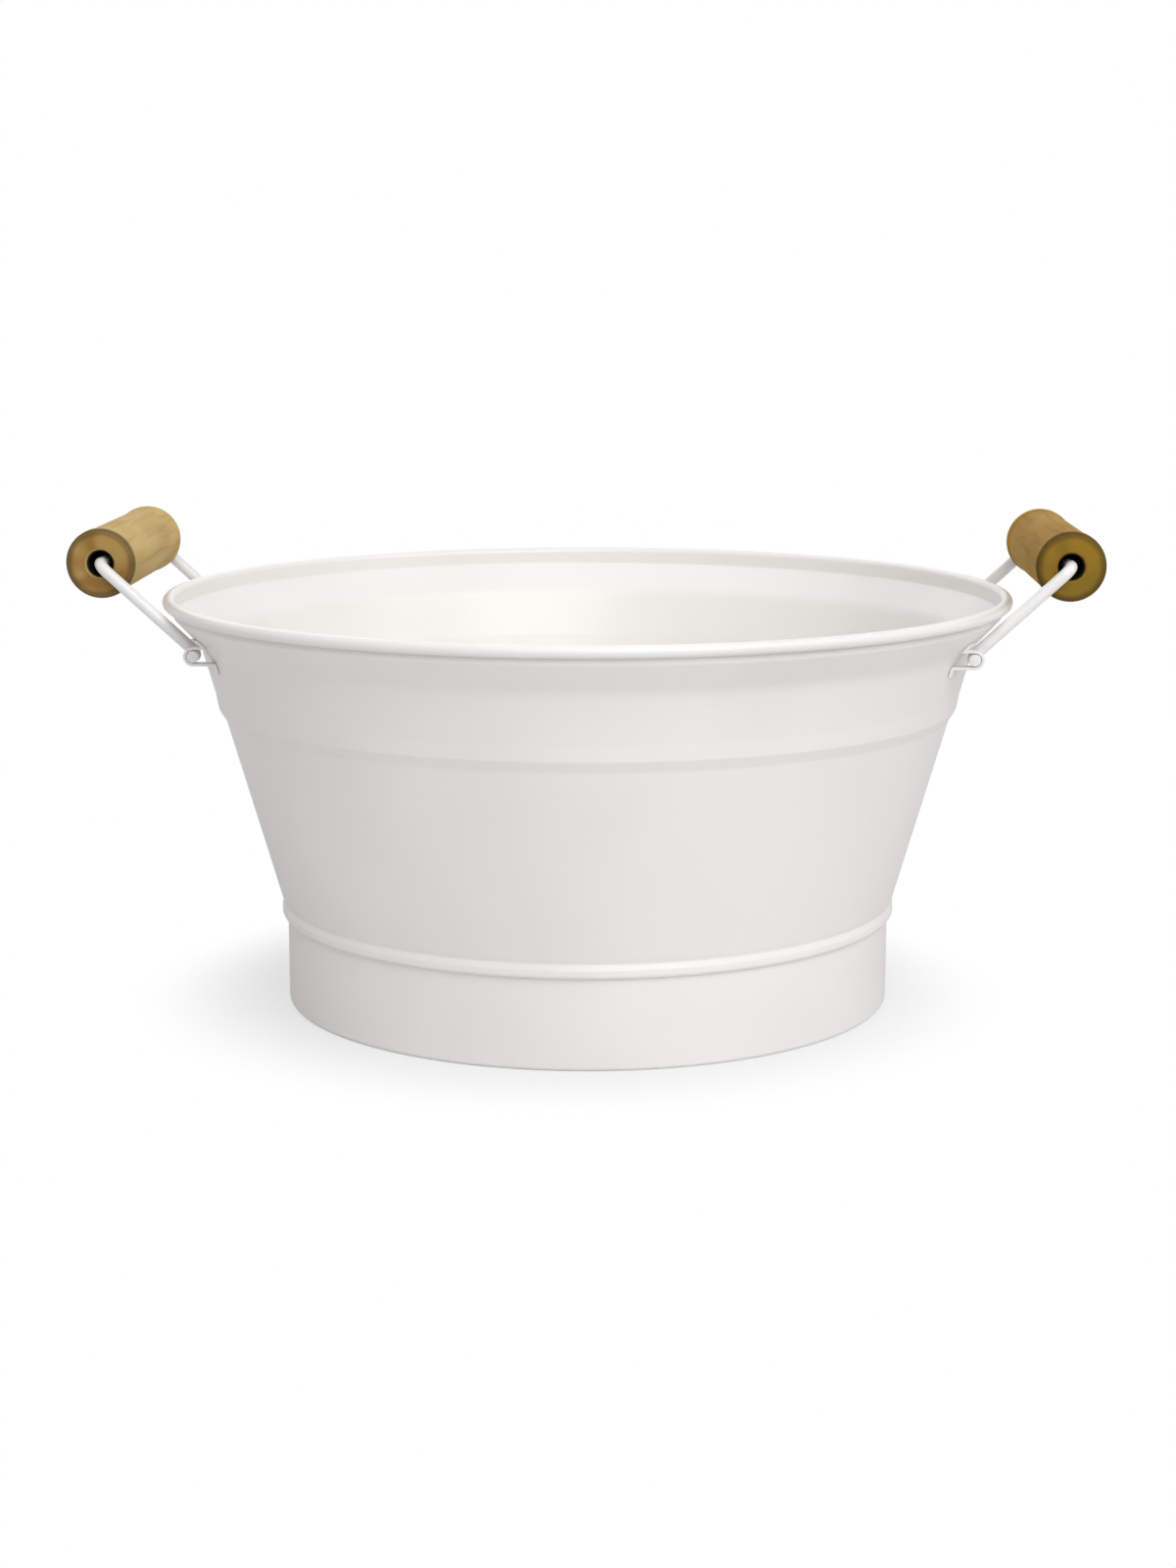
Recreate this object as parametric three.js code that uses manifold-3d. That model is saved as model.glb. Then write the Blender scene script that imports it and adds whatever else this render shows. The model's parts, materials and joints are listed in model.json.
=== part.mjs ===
// A round metal tub with a rolled rim, a swaged band, a seamed foot ring and two wire bails
// with turned wooden grips. Millimetres, +Z up, origin on the table under the middle of the tub.
// The two bails stand at +X and -X, raised outwards, and the tub's front is at -Y.

import * as THREE from 'three';
import { mergeVertices } from 'three/addons/utils/BufferGeometryUtils.js';
import Module from 'manifold-3d';

// Sheet and fits
const SHEET = 0.8; // steel of the wall, the floor and the foot
const SEAT_GAP = 0.3; // between pieces that lie on each other
const TRIM = 60; // longer than any piece that a cutter passes through

// Rolled rim
const RIM_RADIUS = 160; // outermost
const RIM_HEIGHT = 156.4; // top of the roll above the table
const ROLL_RADIUS = 2.2; // outer radius of the hollow roll
const ROLL_TURN = 275; // degrees that the edge is rolled through
const STEM_HEIGHT = 4.6; // upright edge between the flare and the roll's middle
const STEM_BEND = 1.5;
const FLARE_ANGLE = 43; // degrees off the vertical
const FLARE_BEND = 12; // radius where the wall turns out into the flare

// Wall
const FLARE_WIDTH = 9.3; // how far the rim stands out beyond the cone of the wall
const CONE_SETBACK = 0.1; // how far inside the seam the cone starts
const CONE_RISE = 6.9; // from the underside of the seam up to the start of the cone
const SWAGE_DROP = 56.9; // from the top of the rim down to the lower edge of the swaged band
const SWAGE_WIDTH = 21;
const SWAGE_DEPTH = 2.1; // how far the band stands proud of the cone
const SHOULDER_STEP = 0.8; // the wall above the band is this much wider than the cone below
const SHOULDER_WIDTH = 10; // height over which it widens

// Foot ring and the seam that locks wall, floor and foot together
const FOOT_RADIUS = 115.5;
const FOOT_LIP = 4; // width of the flange that stands on the table
const SEAM_HEIGHT = 33.6; // underside of the rolled seam
const SEAM_OVERHANG = 2.1; // how far the seam stands out beyond the foot
const SEAM_NECK = 0.9; // how far the wall is pinched in above the floor's edge
const FLOOR_MARGIN = 16.5; // width of the lower band round the raised middle of the floor
const FLOOR_PANEL_RISE = 1.6;
const PRESS_BEND = 1.2; // radius of the pressed bends

// Bails
const WIRE_RADIUS = 2.2;
const WIRE_BEND = 4.5; // radius of the wire's bends, on its middle line
const PIVOT_DROP = 18.2; // from the top of the rim down to the pivots
const BAIL_REACH = 47.8; // from the pivot to the grip's axis
const BAIL_RISE = 42.6; // degrees above the horizontal at which the bail stands
const PIN_LENGTH = 10.4; // from the leg's middle line out to the end of the pin
const LEG_TO_WALL = 1.4; // between the leg and the wall, level with the pivot

// Ears that hold the bails' pins
const EAR_SHEET = 1;
const EAR_WIDTH = 5;
const EAR_BELOW = 6.5; // how far the lower leaf reaches below the pivot
const EAR_ABOVE = 6; // how far the upper leaf reaches above it
const EAR_BORE_PLAY = 0.3; // between the pin and the ear, all round

// Grips
const GRIP_LENGTH = 96.4;
const GRIP_RADIUS = 12.8;
const GRIP_BORE_RADIUS = 4.5;
const GRIP_END_PLAY = 0.6; // between the end face and the wire's leg
const GRIP_COLLAR = 6; // width of the turned collar at each end
const GRIP_GROOVE_WIDTH = 2.4;
const GRIP_GROOVE_DEPTH = 1;
const GRIP_BODY_RADIUS = 12.4;
const GRIP_EDGE = 2; // radius of the end edges
const GRIP_COUNTERSINK = 1.2;

// Faceting
const RING_SEGMENTS = 56;
const GRIP_SEGMENTS = 24;
const WIRE_SIDES = 12;
const PIN_SIDES = 16;
const ARC_STEP = 40; // most degrees that one facet of a pressed bend turns through
const WIRE_STEP = 18; // the same for the bends of the wire
const ROLL_STEPS = 8;
const SWAGE_STEPS = 6;

const radians = THREE.MathUtils.degToRad;
const wasm = await Module();
wasm.setup();

const enamel = new THREE.MeshStandardMaterial({ color: 0xecebe7, roughness: 0.25, metalness: 0 });
const wireCoat = new THREE.MeshStandardMaterial({ color: 0xe9e9e6, roughness: 0.35, metalness: 0 });
const varnishedWood = new THREE.MeshStandardMaterial({ color: 0xb08a4c, roughness: 0.5, metalness: 0 });

// Plane outlines

/** Point list from [x, y, radius] corners, with a tangent arc at each corner that has a radius. */
function roundCorners(corners, arcStep = ARC_STEP) {
  const points = [];
  corners.forEach(([x, y, radius = 0], index) => {
    const corner = new THREE.Vector2(x, y);
    if (radius === 0) {
      points.push(corner);
      return;
    }
    const back = new THREE.Vector2(...corners[index - 1].slice(0, 2)).sub(corner).normalize();
    const ahead = new THREE.Vector2(...corners[index + 1].slice(0, 2)).sub(corner).normalize();
    const half = Math.acos(THREE.MathUtils.clamp(back.dot(ahead), -1, 1)) / 2;
    const middle = back.clone().add(ahead).normalize();
    const centre = corner.clone().addScaledVector(middle, radius / Math.sin(half));
    const start = corner.clone().addScaledVector(back, radius / Math.tan(half)).sub(centre);
    const sweep = (Math.PI - 2 * half) * Math.sign(ahead.cross(back));
    const steps = Math.max(2, Math.ceil(Math.abs(sweep) / radians(arcStep)));
    for (let step = 0; step <= steps; step += 1) {
      const turned = start.clone().rotateAround(new THREE.Vector2(), (sweep * step) / steps);
      points.push(turned.add(centre));
    }
  });
  return points;
}

/** Line beside another at a distance to its right, mitred at its corners. */
function besideLine(line, distance) {
  return line.map((point, index) => {
    const before = line[Math.max(index - 1, 0)];
    const after = line[Math.min(index + 1, line.length - 1)];
    const normals = [[before, point], [point, after]]
      .filter(([from, to]) => from !== to)
      .map(([from, to]) => to.clone().sub(from).normalize())
      .map((along) => new THREE.Vector2(along.y, -along.x));
    const mitre = normals.reduce((sum, normal) => sum.clone().add(normal)).normalize();
    return point.clone().addScaledVector(mitre, distance / mitre.dot(normals[0]));
  });
}

/** Closed outline of a sheet whose middle line is given. */
function sheetOutline(line, thickness) {
  return [...besideLine(line, thickness / 2), ...besideLine(line, -thickness / 2).reverse()];
}

/** Curve through given points, on which even steps of the parameter land on the points. */
class PointPath extends THREE.Curve {
  constructor(points) {
    super();
    this.points = points;
  }

  getPoint(t, target = new THREE.Vector3()) {
    const place = t * (this.points.length - 1);
    const index = Math.min(Math.floor(place), this.points.length - 2);
    return target.lerpVectors(this.points[index], this.points[index + 1], place - index);
  }

  getPointAt(u, target) {
    return this.getPoint(u, target);
  }

  getTangentAt(u, target = new THREE.Vector3()) {
    const reach = 0.5 / (this.points.length - 1);
    const behind = this.getPoint(Math.max(u - reach, 0));
    const ahead = this.getPoint(Math.min(u + reach, 1));
    return target.copy(ahead).sub(behind).normalize();
  }
}

// Solids

/** Geometry with its shared vertices merged and its collapsed triangles removed. */
function weld(geometry) {
  const bare = geometry.clone();
  bare.deleteAttribute('normal');
  bare.deleteAttribute('uv');
  const merged = mergeVertices(bare, 1e-4);
  const corners = merged.getIndex().array;
  const kept = [];
  for (let first = 0; first < corners.length; first += 3) {
    const [a, b, c] = corners.slice(first, first + 3);
    if (a !== b && b !== c && c !== a) {
      kept.push(a, b, c);
    }
  }
  merged.setIndex(kept);
  merged.computeVertexNormals();
  return merged;
}

/** Body turned about the local Y axis from an outline that is closed or ends on the axis. */
function turned(outline, segments, closed = true) {
  const points = THREE.ShapeUtils.area(outline) < 0 ? [...outline].reverse() : [...outline];
  if (closed) {
    points.push(points[0].clone());
  }
  return weld(new THREE.LatheGeometry(points, segments));
}

/** The same, stood up so that it turns about the Z axis. */
function turnedUpright(outline, segments, closed = true) {
  return turned(outline, segments, closed).rotateX(Math.PI / 2);
}

function toManifold(geometry) {
  const welded = weld(geometry);
  return new wasm.Manifold(new wasm.Mesh({
    numProp: 3,
    vertProperties: new Float32Array(welded.getAttribute('position').array),
    triVerts: new Uint32Array(welded.getIndex().array),
  }));
}

function toGeometry(manifold) {
  const mesh = manifold.getMesh();
  const geometry = new THREE.BufferGeometry();
  geometry.setAttribute('position', new THREE.BufferAttribute(new Float32Array(mesh.vertProperties), 3));
  geometry.setIndex([...mesh.triVerts]);
  geometry.computeVertexNormals();
  return geometry;
}

/** Box between two corners, as a cutter or a block. */
function block([x0, y0, z0], [x1, y1, z1]) {
  const geometry = new THREE.BoxGeometry(x1 - x0, y1 - y0, z1 - z0);
  return toManifold(geometry.translate((x0 + x1) / 2, (y0 + y1) / 2, (z0 + z1) / 2));
}

/** Round bar along Y, with a facet edge towards +X. */
function bar(radius, [x, z], y0, y1) {
  const geometry = new THREE.CylinderGeometry(radius, radius, y1 - y0, PIN_SIDES);
  return toManifold(geometry.translate(x, (y0 + y1) / 2, z));
}

// Wall

const SEAM_RADIUS = FOOT_RADIUS + SEAM_OVERHANG;
const CONE_RADIUS = SEAM_RADIUS - CONE_SETBACK;
const CONE_HEIGHT = SEAM_HEIGHT + CONE_RISE;
const SWAGE_HEIGHT = RIM_HEIGHT - SWAGE_DROP;
const CONE_SLOPE = (RIM_RADIUS - FLARE_WIDTH - CONE_RADIUS) / (RIM_HEIGHT - CONE_HEIGHT);

/** Outside radius of the wall below its flare: a cone, the swaged band and the shoulder. */
function wallRadius(height) {
  const cone = CONE_RADIUS + (height - CONE_HEIGHT) * CONE_SLOPE;
  const across = THREE.MathUtils.clamp((height - SWAGE_HEIGHT) / SWAGE_WIDTH, 0, 1);
  const swage = SWAGE_DEPTH * Math.sin(Math.PI * across) ** 2;
  const shoulder = THREE.MathUtils.smoothstep(height, shoulderTop() - SHOULDER_WIDTH, shoulderTop());
  return cone + swage + shoulder * SHOULDER_STEP;
}

function shoulderTop() {
  return SWAGE_HEIGHT + SWAGE_WIDTH + SHOULDER_WIDTH / 10;
}

/** Middle line of the wall's sheet, from the seam's hem up to the end of the roll. */
function wallLine() {
  const inset = SHEET / 2;
  const rollLine = ROLL_RADIUS - inset;
  const [rollX, rollY] = [RIM_RADIUS - ROLL_RADIUS, RIM_HEIGHT - ROLL_RADIUS];
  const stemFoot = [rollX - rollLine, rollY - STEM_HEIGHT];

  // The flare runs down from the stem until it meets the upper wall.
  const flareSlope = Math.tan(radians(FLARE_ANGLE));
  const upperRadius = wallRadius(shoulderTop()) - inset + CONE_SLOPE * (stemFoot[1] - shoulderTop());
  const drop = (stemFoot[0] - upperRadius) / (flareSlope - CONE_SLOPE);
  const flareFoot = [stemFoot[0] - drop * flareSlope, stemFoot[1] - drop];

  const hemHeight = SEAM_HEIGHT + inset;
  const seamLine = SEAM_RADIUS - inset;
  const neckHeight = floorHeight() + SHEET + SEAT_GAP + PRESS_BEND / 2;
  const swage = [];
  for (let step = 0; step <= SWAGE_STEPS; step += 1) {
    const height = SWAGE_HEIGHT + ((shoulderTop() - SWAGE_HEIGHT) * step) / SWAGE_STEPS;
    swage.push([wallRadius(height) - inset, height]);
  }
  const roll = [];
  for (let step = 0; step <= ROLL_STEPS; step += 1) {
    const angle = Math.PI - (radians(ROLL_TURN) * step) / ROLL_STEPS;
    roll.push([rollX + rollLine * Math.cos(angle), rollY + rollLine * Math.sin(angle)]);
  }
  return roundCorners([
    [FOOT_RADIUS + SEAT_GAP, hemHeight],
    [seamLine, hemHeight, PRESS_BEND],
    [seamLine, neckHeight - PRESS_BEND],
    [seamLine - SEAM_NECK, neckHeight],
    [CONE_RADIUS - inset, CONE_HEIGHT],
    ...swage,
    [...flareFoot, FLARE_BEND],
    [...stemFoot, STEM_BEND],
    ...roll,
  ]);
}

/** Outside of the wall between two heights, with a clearance, as points from bottom to top. */
function wallOutside(clearance, z0, z1) {
  const side = besideLine(wallLine(), SHEET / 2 + clearance);
  const radiusAt = (height) => {
    const next = side.findIndex((point, index) => index > 0 && point.y >= height);
    const [below, above] = [side[next - 1], side[next]];
    return below.x + ((above.x - below.x) * (height - below.y)) / (above.y - below.y);
  };
  const rising = side.slice(0, side.findIndex((point) => point.y > z1));
  return [
    new THREE.Vector2(radiusAt(z0), z0),
    ...rising.filter((point) => point.y > z0),
    new THREE.Vector2(radiusAt(z1), z1),
  ];
}

function wall() {
  return turnedUpright(sheetOutline(wallLine(), SHEET), RING_SEGMENTS);
}

// Floor and foot

/** Height of the foot's upper flange, on its middle line: it lies on the wall's hem. */
function footFlangeHeight() {
  return SEAM_HEIGHT + SHEET + SEAT_GAP + SHEET / 2;
}

/** Height of the floor's edge, on its middle line: it lies on the foot's flange. */
function floorHeight() {
  return footFlangeHeight() + SHEET + SEAT_GAP;
}

/** Radius of the edges that the seam encloses. */
function seamedEdge() {
  return SEAM_RADIUS - SHEET - SEAT_GAP;
}

function floor() {
  const edge = floorHeight();
  const panel = edge + FLOOR_PANEL_RISE;
  const panelRadius = seamedEdge() - FLOOR_MARGIN;
  const line = roundCorners([
    [seamedEdge(), edge],
    [panelRadius + FLOOR_PANEL_RISE, edge],
    [panelRadius, panel],
    [0, panel],
  ]);
  const outline = sheetOutline(line, SHEET);
  const middle = outline.findIndex((point) => Math.abs(point.x) < 1e-6);
  const fromAxis = [...outline.slice(middle + 1), ...outline.slice(0, middle + 1)];
  return turnedUpright(fromAxis, RING_SEGMENTS, false);
}

function foot() {
  const line = roundCorners([
    [FOOT_RADIUS - FOOT_LIP, SHEET / 2],
    [FOOT_RADIUS - SHEET / 2, SHEET / 2, PRESS_BEND],
    [FOOT_RADIUS - SHEET / 2, footFlangeHeight(), PRESS_BEND],
    [seamedEdge(), footFlangeHeight()],
  ]);
  return turnedUpright(sheetOutline(line, SHEET), RING_SEGMENTS);
}

// Bails, on a frame whose origin is the pivot and whose +X runs along the legs

const LEG_Y = GRIP_LENGTH / 2 + GRIP_END_PLAY + WIRE_RADIUS;
const PIVOT_HEIGHT = RIM_HEIGHT - PIVOT_DROP;
const [PIVOT_WALL] = wallOutside(0, PIVOT_HEIGHT, PIVOT_HEIGHT + EAR_ABOVE);
const PIVOT_X = Math.sqrt(PIVOT_WALL.x ** 2 - LEG_Y ** 2) + LEG_TO_WALL + WIRE_RADIUS;

/** Wire bent once, from one pin's end over both legs to the other's. */
function bail() {
  const half = roundCorners([
    [0, -LEG_Y - PIN_LENGTH],
    [0, -LEG_Y, WIRE_BEND],
    [BAIL_REACH, -LEG_Y, WIRE_BEND],
    [BAIL_REACH, 0],
  ], WIRE_STEP);
  const mirrored = half.slice(0, -1).reverse().map((point) => new THREE.Vector2(point.x, -point.y));
  const points = [...half, ...mirrored].map((point) => new THREE.Vector3(point.x, point.y, 0));
  const section = new THREE.Shape().absarc(0, 0, WIRE_RADIUS, 0, 2 * Math.PI, false);
  return weld(new THREE.ExtrudeGeometry(section, {
    extrudePath: new PointPath(points),
    steps: points.length - 1,
    curveSegments: WIRE_SIDES,
  }));
}

/** Turned grip about the local Y axis, with a collar and a groove at each end. */
function grip() {
  const end = GRIP_LENGTH / 2;
  const collar = end - GRIP_COLLAR;
  const groove = GRIP_RADIUS - GRIP_GROOVE_DEPTH;
  const outside = [
    [GRIP_BORE_RADIUS, end - GRIP_COUNTERSINK],
    [GRIP_BORE_RADIUS + GRIP_COUNTERSINK, end],
    [GRIP_RADIUS, end, GRIP_EDGE],
    [GRIP_RADIUS, collar, GRIP_GROOVE_DEPTH / 2],
    [groove, collar - GRIP_GROOVE_WIDTH / 2],
    [GRIP_BODY_RADIUS, collar - GRIP_GROOVE_WIDTH],
  ];
  const upper = roundCorners(outside);
  const lower = upper.map((point) => new THREE.Vector2(point.x, -point.y)).reverse();
  return turned([...upper, ...lower], GRIP_SEGMENTS);
}

// Ears

/** Solid that fills the wall and everything inside it, up to a clearance. */
function wallCore(clearance, z0, z1) {
  const outline = [
    new THREE.Vector2(0, z0),
    ...wallOutside(clearance, z0, z1),
    new THREE.Vector2(0, z1),
  ];
  return toManifold(turnedUpright(outline, RING_SEGMENTS, false));
}

/** Pressed strap over one pin: a loop and two leaves that follow the wall. side is -1 or 1. */
function ear(side) {
  const bore = WIRE_RADIUS + EAR_BORE_PLAY;
  const loop = bore + EAR_SHEET;
  const pivot = [PIVOT_X, PIVOT_HEIGHT];
  const [z0, z1] = [PIVOT_HEIGHT - EAR_BELOW, PIVOT_HEIGHT + EAR_ABOVE];
  const near = LEG_Y + WIRE_BEND + SEAT_GAP;
  const [y0, y1] = side < 0 ? [-near - EAR_WIDTH, -near] : [near, near + EAR_WIDTH];
  const inside = PIVOT_X - TRIM;

  const leaves = wallCore(SEAT_GAP + EAR_SHEET, z0, z1)
    .intersect(block([inside, y0, z0], [PIVOT_X + TRIM, y1, z1]));
  const arms = block([inside, y0, PIVOT_HEIGHT - loop], [PIVOT_X, y1, PIVOT_HEIGHT + loop]);
  const slot = block(
    [inside - 1, y0 - 1, PIVOT_HEIGHT - bore],
    [PIVOT_X, y1 + 1, PIVOT_HEIGHT + bore],
  );
  const strap = leaves.add(arms).add(bar(loop, pivot, y0, y1));
  const opened = strap.subtract(slot).subtract(bar(bore, pivot, y0 - 1, y1 + 1));
  return toGeometry(opened.subtract(wallCore(SEAT_GAP, z0 - 1, z1 + 1)));
}

// Assembly

function named(name, geometry, material) {
  const mesh = new THREE.Mesh(geometry, material);
  mesh.name = name;
  return mesh;
}

const bucket = new THREE.Group();
bucket.add(
  named('tub_wall', wall(), enamel),
  named('tub_floor', floor(), enamel),
  named('foot_ring', foot(), enamel),
);

for (const [name, turn] of [['right', 0], ['left', Math.PI]]) {
  const side = new THREE.Group();
  side.rotation.z = turn;
  const front = turn === 0 ? -1 : 1;
  side.add(
    named(`ear_${name}_front`, ear(front), enamel),
    named(`ear_${name}_rear`, ear(-front), enamel),
  );
  const swing = new THREE.Group();
  swing.position.set(PIVOT_X, 0, PIVOT_HEIGHT);
  swing.rotation.y = -radians(BAIL_RISE);
  const handle = named(`grip_${name}`, grip(), varnishedWood);
  handle.position.x = BAIL_REACH;
  swing.add(named(`bail_${name}`, bail(), wireCoat), handle);
  side.add(swing);
  bucket.add(side);
}

export default bucket;
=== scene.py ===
"""White enamelled metal tub with two wire bails and turned wooden grips, on a pale studio floor.

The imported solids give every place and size: the rim, the foot, the pivots and the grips. The sheets, the
straps, the wires and the grips are made again here with a finer surface, and each one stands where its solid
stands.
"""

from __future__ import annotations

import json
import logging
import math
from dataclasses import dataclass
from enum import Enum

import bmesh
import bpy
from mathutils import Matrix, Vector

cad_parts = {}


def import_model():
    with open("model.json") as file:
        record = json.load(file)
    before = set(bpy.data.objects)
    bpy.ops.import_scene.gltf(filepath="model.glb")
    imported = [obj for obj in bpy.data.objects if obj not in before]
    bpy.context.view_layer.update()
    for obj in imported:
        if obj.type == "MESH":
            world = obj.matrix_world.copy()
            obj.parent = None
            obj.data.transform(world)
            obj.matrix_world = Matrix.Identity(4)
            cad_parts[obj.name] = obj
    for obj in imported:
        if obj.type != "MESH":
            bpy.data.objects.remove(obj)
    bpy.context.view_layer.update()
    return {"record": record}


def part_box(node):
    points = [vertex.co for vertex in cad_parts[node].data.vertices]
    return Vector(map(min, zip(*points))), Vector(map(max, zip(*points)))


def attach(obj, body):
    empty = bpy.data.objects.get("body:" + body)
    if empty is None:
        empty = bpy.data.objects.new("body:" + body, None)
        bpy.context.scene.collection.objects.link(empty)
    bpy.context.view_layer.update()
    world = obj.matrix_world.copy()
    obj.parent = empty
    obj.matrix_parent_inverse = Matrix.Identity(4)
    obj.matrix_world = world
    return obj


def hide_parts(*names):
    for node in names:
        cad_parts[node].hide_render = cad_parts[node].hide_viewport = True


MM = 0.001
PHOTO_HEIGHT_PX = 1600
SHEET = 0.8 * MM
SEAM_GAP = 0.3 * MM
ARC_STEP = math.radians(9)
SHARP_ANGLE = math.radians(40)
WELD_DISTANCE = 1e-6
TURN = 2 * math.pi
CLEAR_COAT_IOR = 1.5

log = logging.getLogger("tub")

Socket = bpy.types.NodeSocket
Ring = list[bmesh.types.BMEdge]
Colour = tuple[float, float, float, float]


class Side(Enum):
    """The two bails, by the direction in which they stand out from the tub."""

    RIGHT = 1
    LEFT = -1

    @property
    def word(self) -> str:
        """Word that the names of this side's pieces hold."""
        return self.name.lower()


class Slot(Enum):
    """Material slots of the record."""

    ENAMEL = "enamel"
    WIRE = "coated_wire"
    WOOD = "varnished_wood"


def linear(code: str) -> Colour:
    """Turn an sRGB hex colour to linear light.

    Args:
        code: Six hex digits after a hash sign.

    Returns:
        Red, green, blue and an alpha of 1.
    """
    parts = [int(code[place : place + 2], 16) / 255 for place in (1, 3, 5)]
    red, green, blue = (
        part / 12.92 if part <= 0.04045 else ((part + 0.055) / 1.055) ** 2.4 for part in parts
    )
    return red, green, blue, 1.0


def add_node(
    tree: bpy.types.NodeTree,
    kind: str,
    settings: dict[str, object] | None = None,
    inputs: dict[str | int, object] | None = None,
) -> bpy.types.Node:
    """Add a node with its settings, its constants and its links.

    Args:
        tree: Node tree that gets the node.
        kind: Type name of the node.
        settings: Attributes of the node.
        inputs: Socket names or numbers, each with a constant or with the socket that feeds it.

    Returns:
        The new node.
    """
    node = tree.nodes.new(kind)
    for name, value in (settings or {}).items():
        setattr(node, name, value)
    for name, value in (inputs or {}).items():
        if isinstance(value, Socket):
            tree.links.new(value, node.inputs[name])
        else:
            node.inputs[name].default_value = value
    return node


def empty_material(name: str) -> bpy.types.Material:
    """Make a material whose node tree is empty.

    Args:
        name: Name of the material.

    Returns:
        The material.
    """
    material = bpy.data.materials.new(name)
    material.use_nodes = True
    material.node_tree.nodes.clear()
    return material


@dataclass(frozen=True)
class CoatedSteel:
    """White coating on steel, fused or baked hard, with a soft gloss and a faint ripple.

    The wet coat draws up into soft waves a few millimetres apart, and they loosen the edges of what the gloss
    mirrors. The tint drifts a little where the coat is thinner.
    """

    name: str
    colour: str
    thin_colour: str
    roughness: float
    gloss: float
    ripple_mm: float = 5.0
    ripple_depth_mm: float = 0.006
    drift_mm: float = 90.0
    thin_noise: float = 0.35
    full_noise: float = 0.6
    gloss_roughness: float = 0.22

    def build(self) -> bpy.types.Material:
        """Build the material.

        Returns:
            The material.
        """
        material = empty_material(self.name)
        tree = material.node_tree
        place = add_node(tree, "ShaderNodeTexCoord").outputs["Object"]
        drift = add_node(
            tree,
            "ShaderNodeTexNoise",
            inputs={"Vector": place, "Scale": 1 / (self.drift_mm * MM), "Detail": 2.0},
        )
        tint = add_node(tree, "ShaderNodeValToRGB", inputs={"Fac": drift.outputs["Fac"]})
        thin, full = tint.color_ramp.elements
        thin.position, thin.color = self.thin_noise, linear(self.thin_colour)
        full.position, full.color = self.full_noise, linear(self.colour)
        ripple = add_node(
            tree,
            "ShaderNodeTexNoise",
            inputs={"Vector": place, "Scale": 1 / (self.ripple_mm * MM), "Detail": 1.0, "Roughness": 0.4},
        )
        bump = add_node(
            tree,
            "ShaderNodeBump",
            inputs={
                "Height": ripple.outputs["Fac"],
                "Distance": self.ripple_depth_mm * MM,
                "Strength": 1.0,
            },
        )
        shader = add_node(
            tree,
            "ShaderNodeBsdfPrincipled",
            inputs={
                "Base Color": tint.outputs["Color"],
                "Roughness": self.roughness,
                "IOR": CLEAR_COAT_IOR,
                "Normal": bump.outputs["Normal"],
                "Coat Weight": self.gloss,
                "Coat Roughness": self.gloss_roughness,
                "Coat IOR": CLEAR_COAT_IOR,
            },
        )
        add_node(tree, "ShaderNodeOutputMaterial", inputs={"Surface": shader.outputs["BSDF"]})
        return material


@dataclass(frozen=True)
class WoodTone:
    """Colours of one piece of varnished beech."""

    name: str
    light: str
    body: str
    streak: str
    end_face: str
    # edge: painted shade on the rounded rims of the end faces
    edge: str


# Each tone's edge colour is painted shade for the rims of the grip's end faces.
WOOD_TONES = {
    Side.LEFT: WoodTone(
        name="tan_varnished_beech",
        light="#CDB075",
        body="#BD9F5E",
        streak="#A4814A",
        end_face="#8F6C34",
        edge="#2E1F0C",
    ),
    Side.RIGHT: WoodTone(
        name="golden_varnished_beech",
        light="#AE862A",
        body="#9E761A",
        streak="#7A5812",
        end_face="#80651A",
        edge="#2C1F0A",
    ),
}


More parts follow.
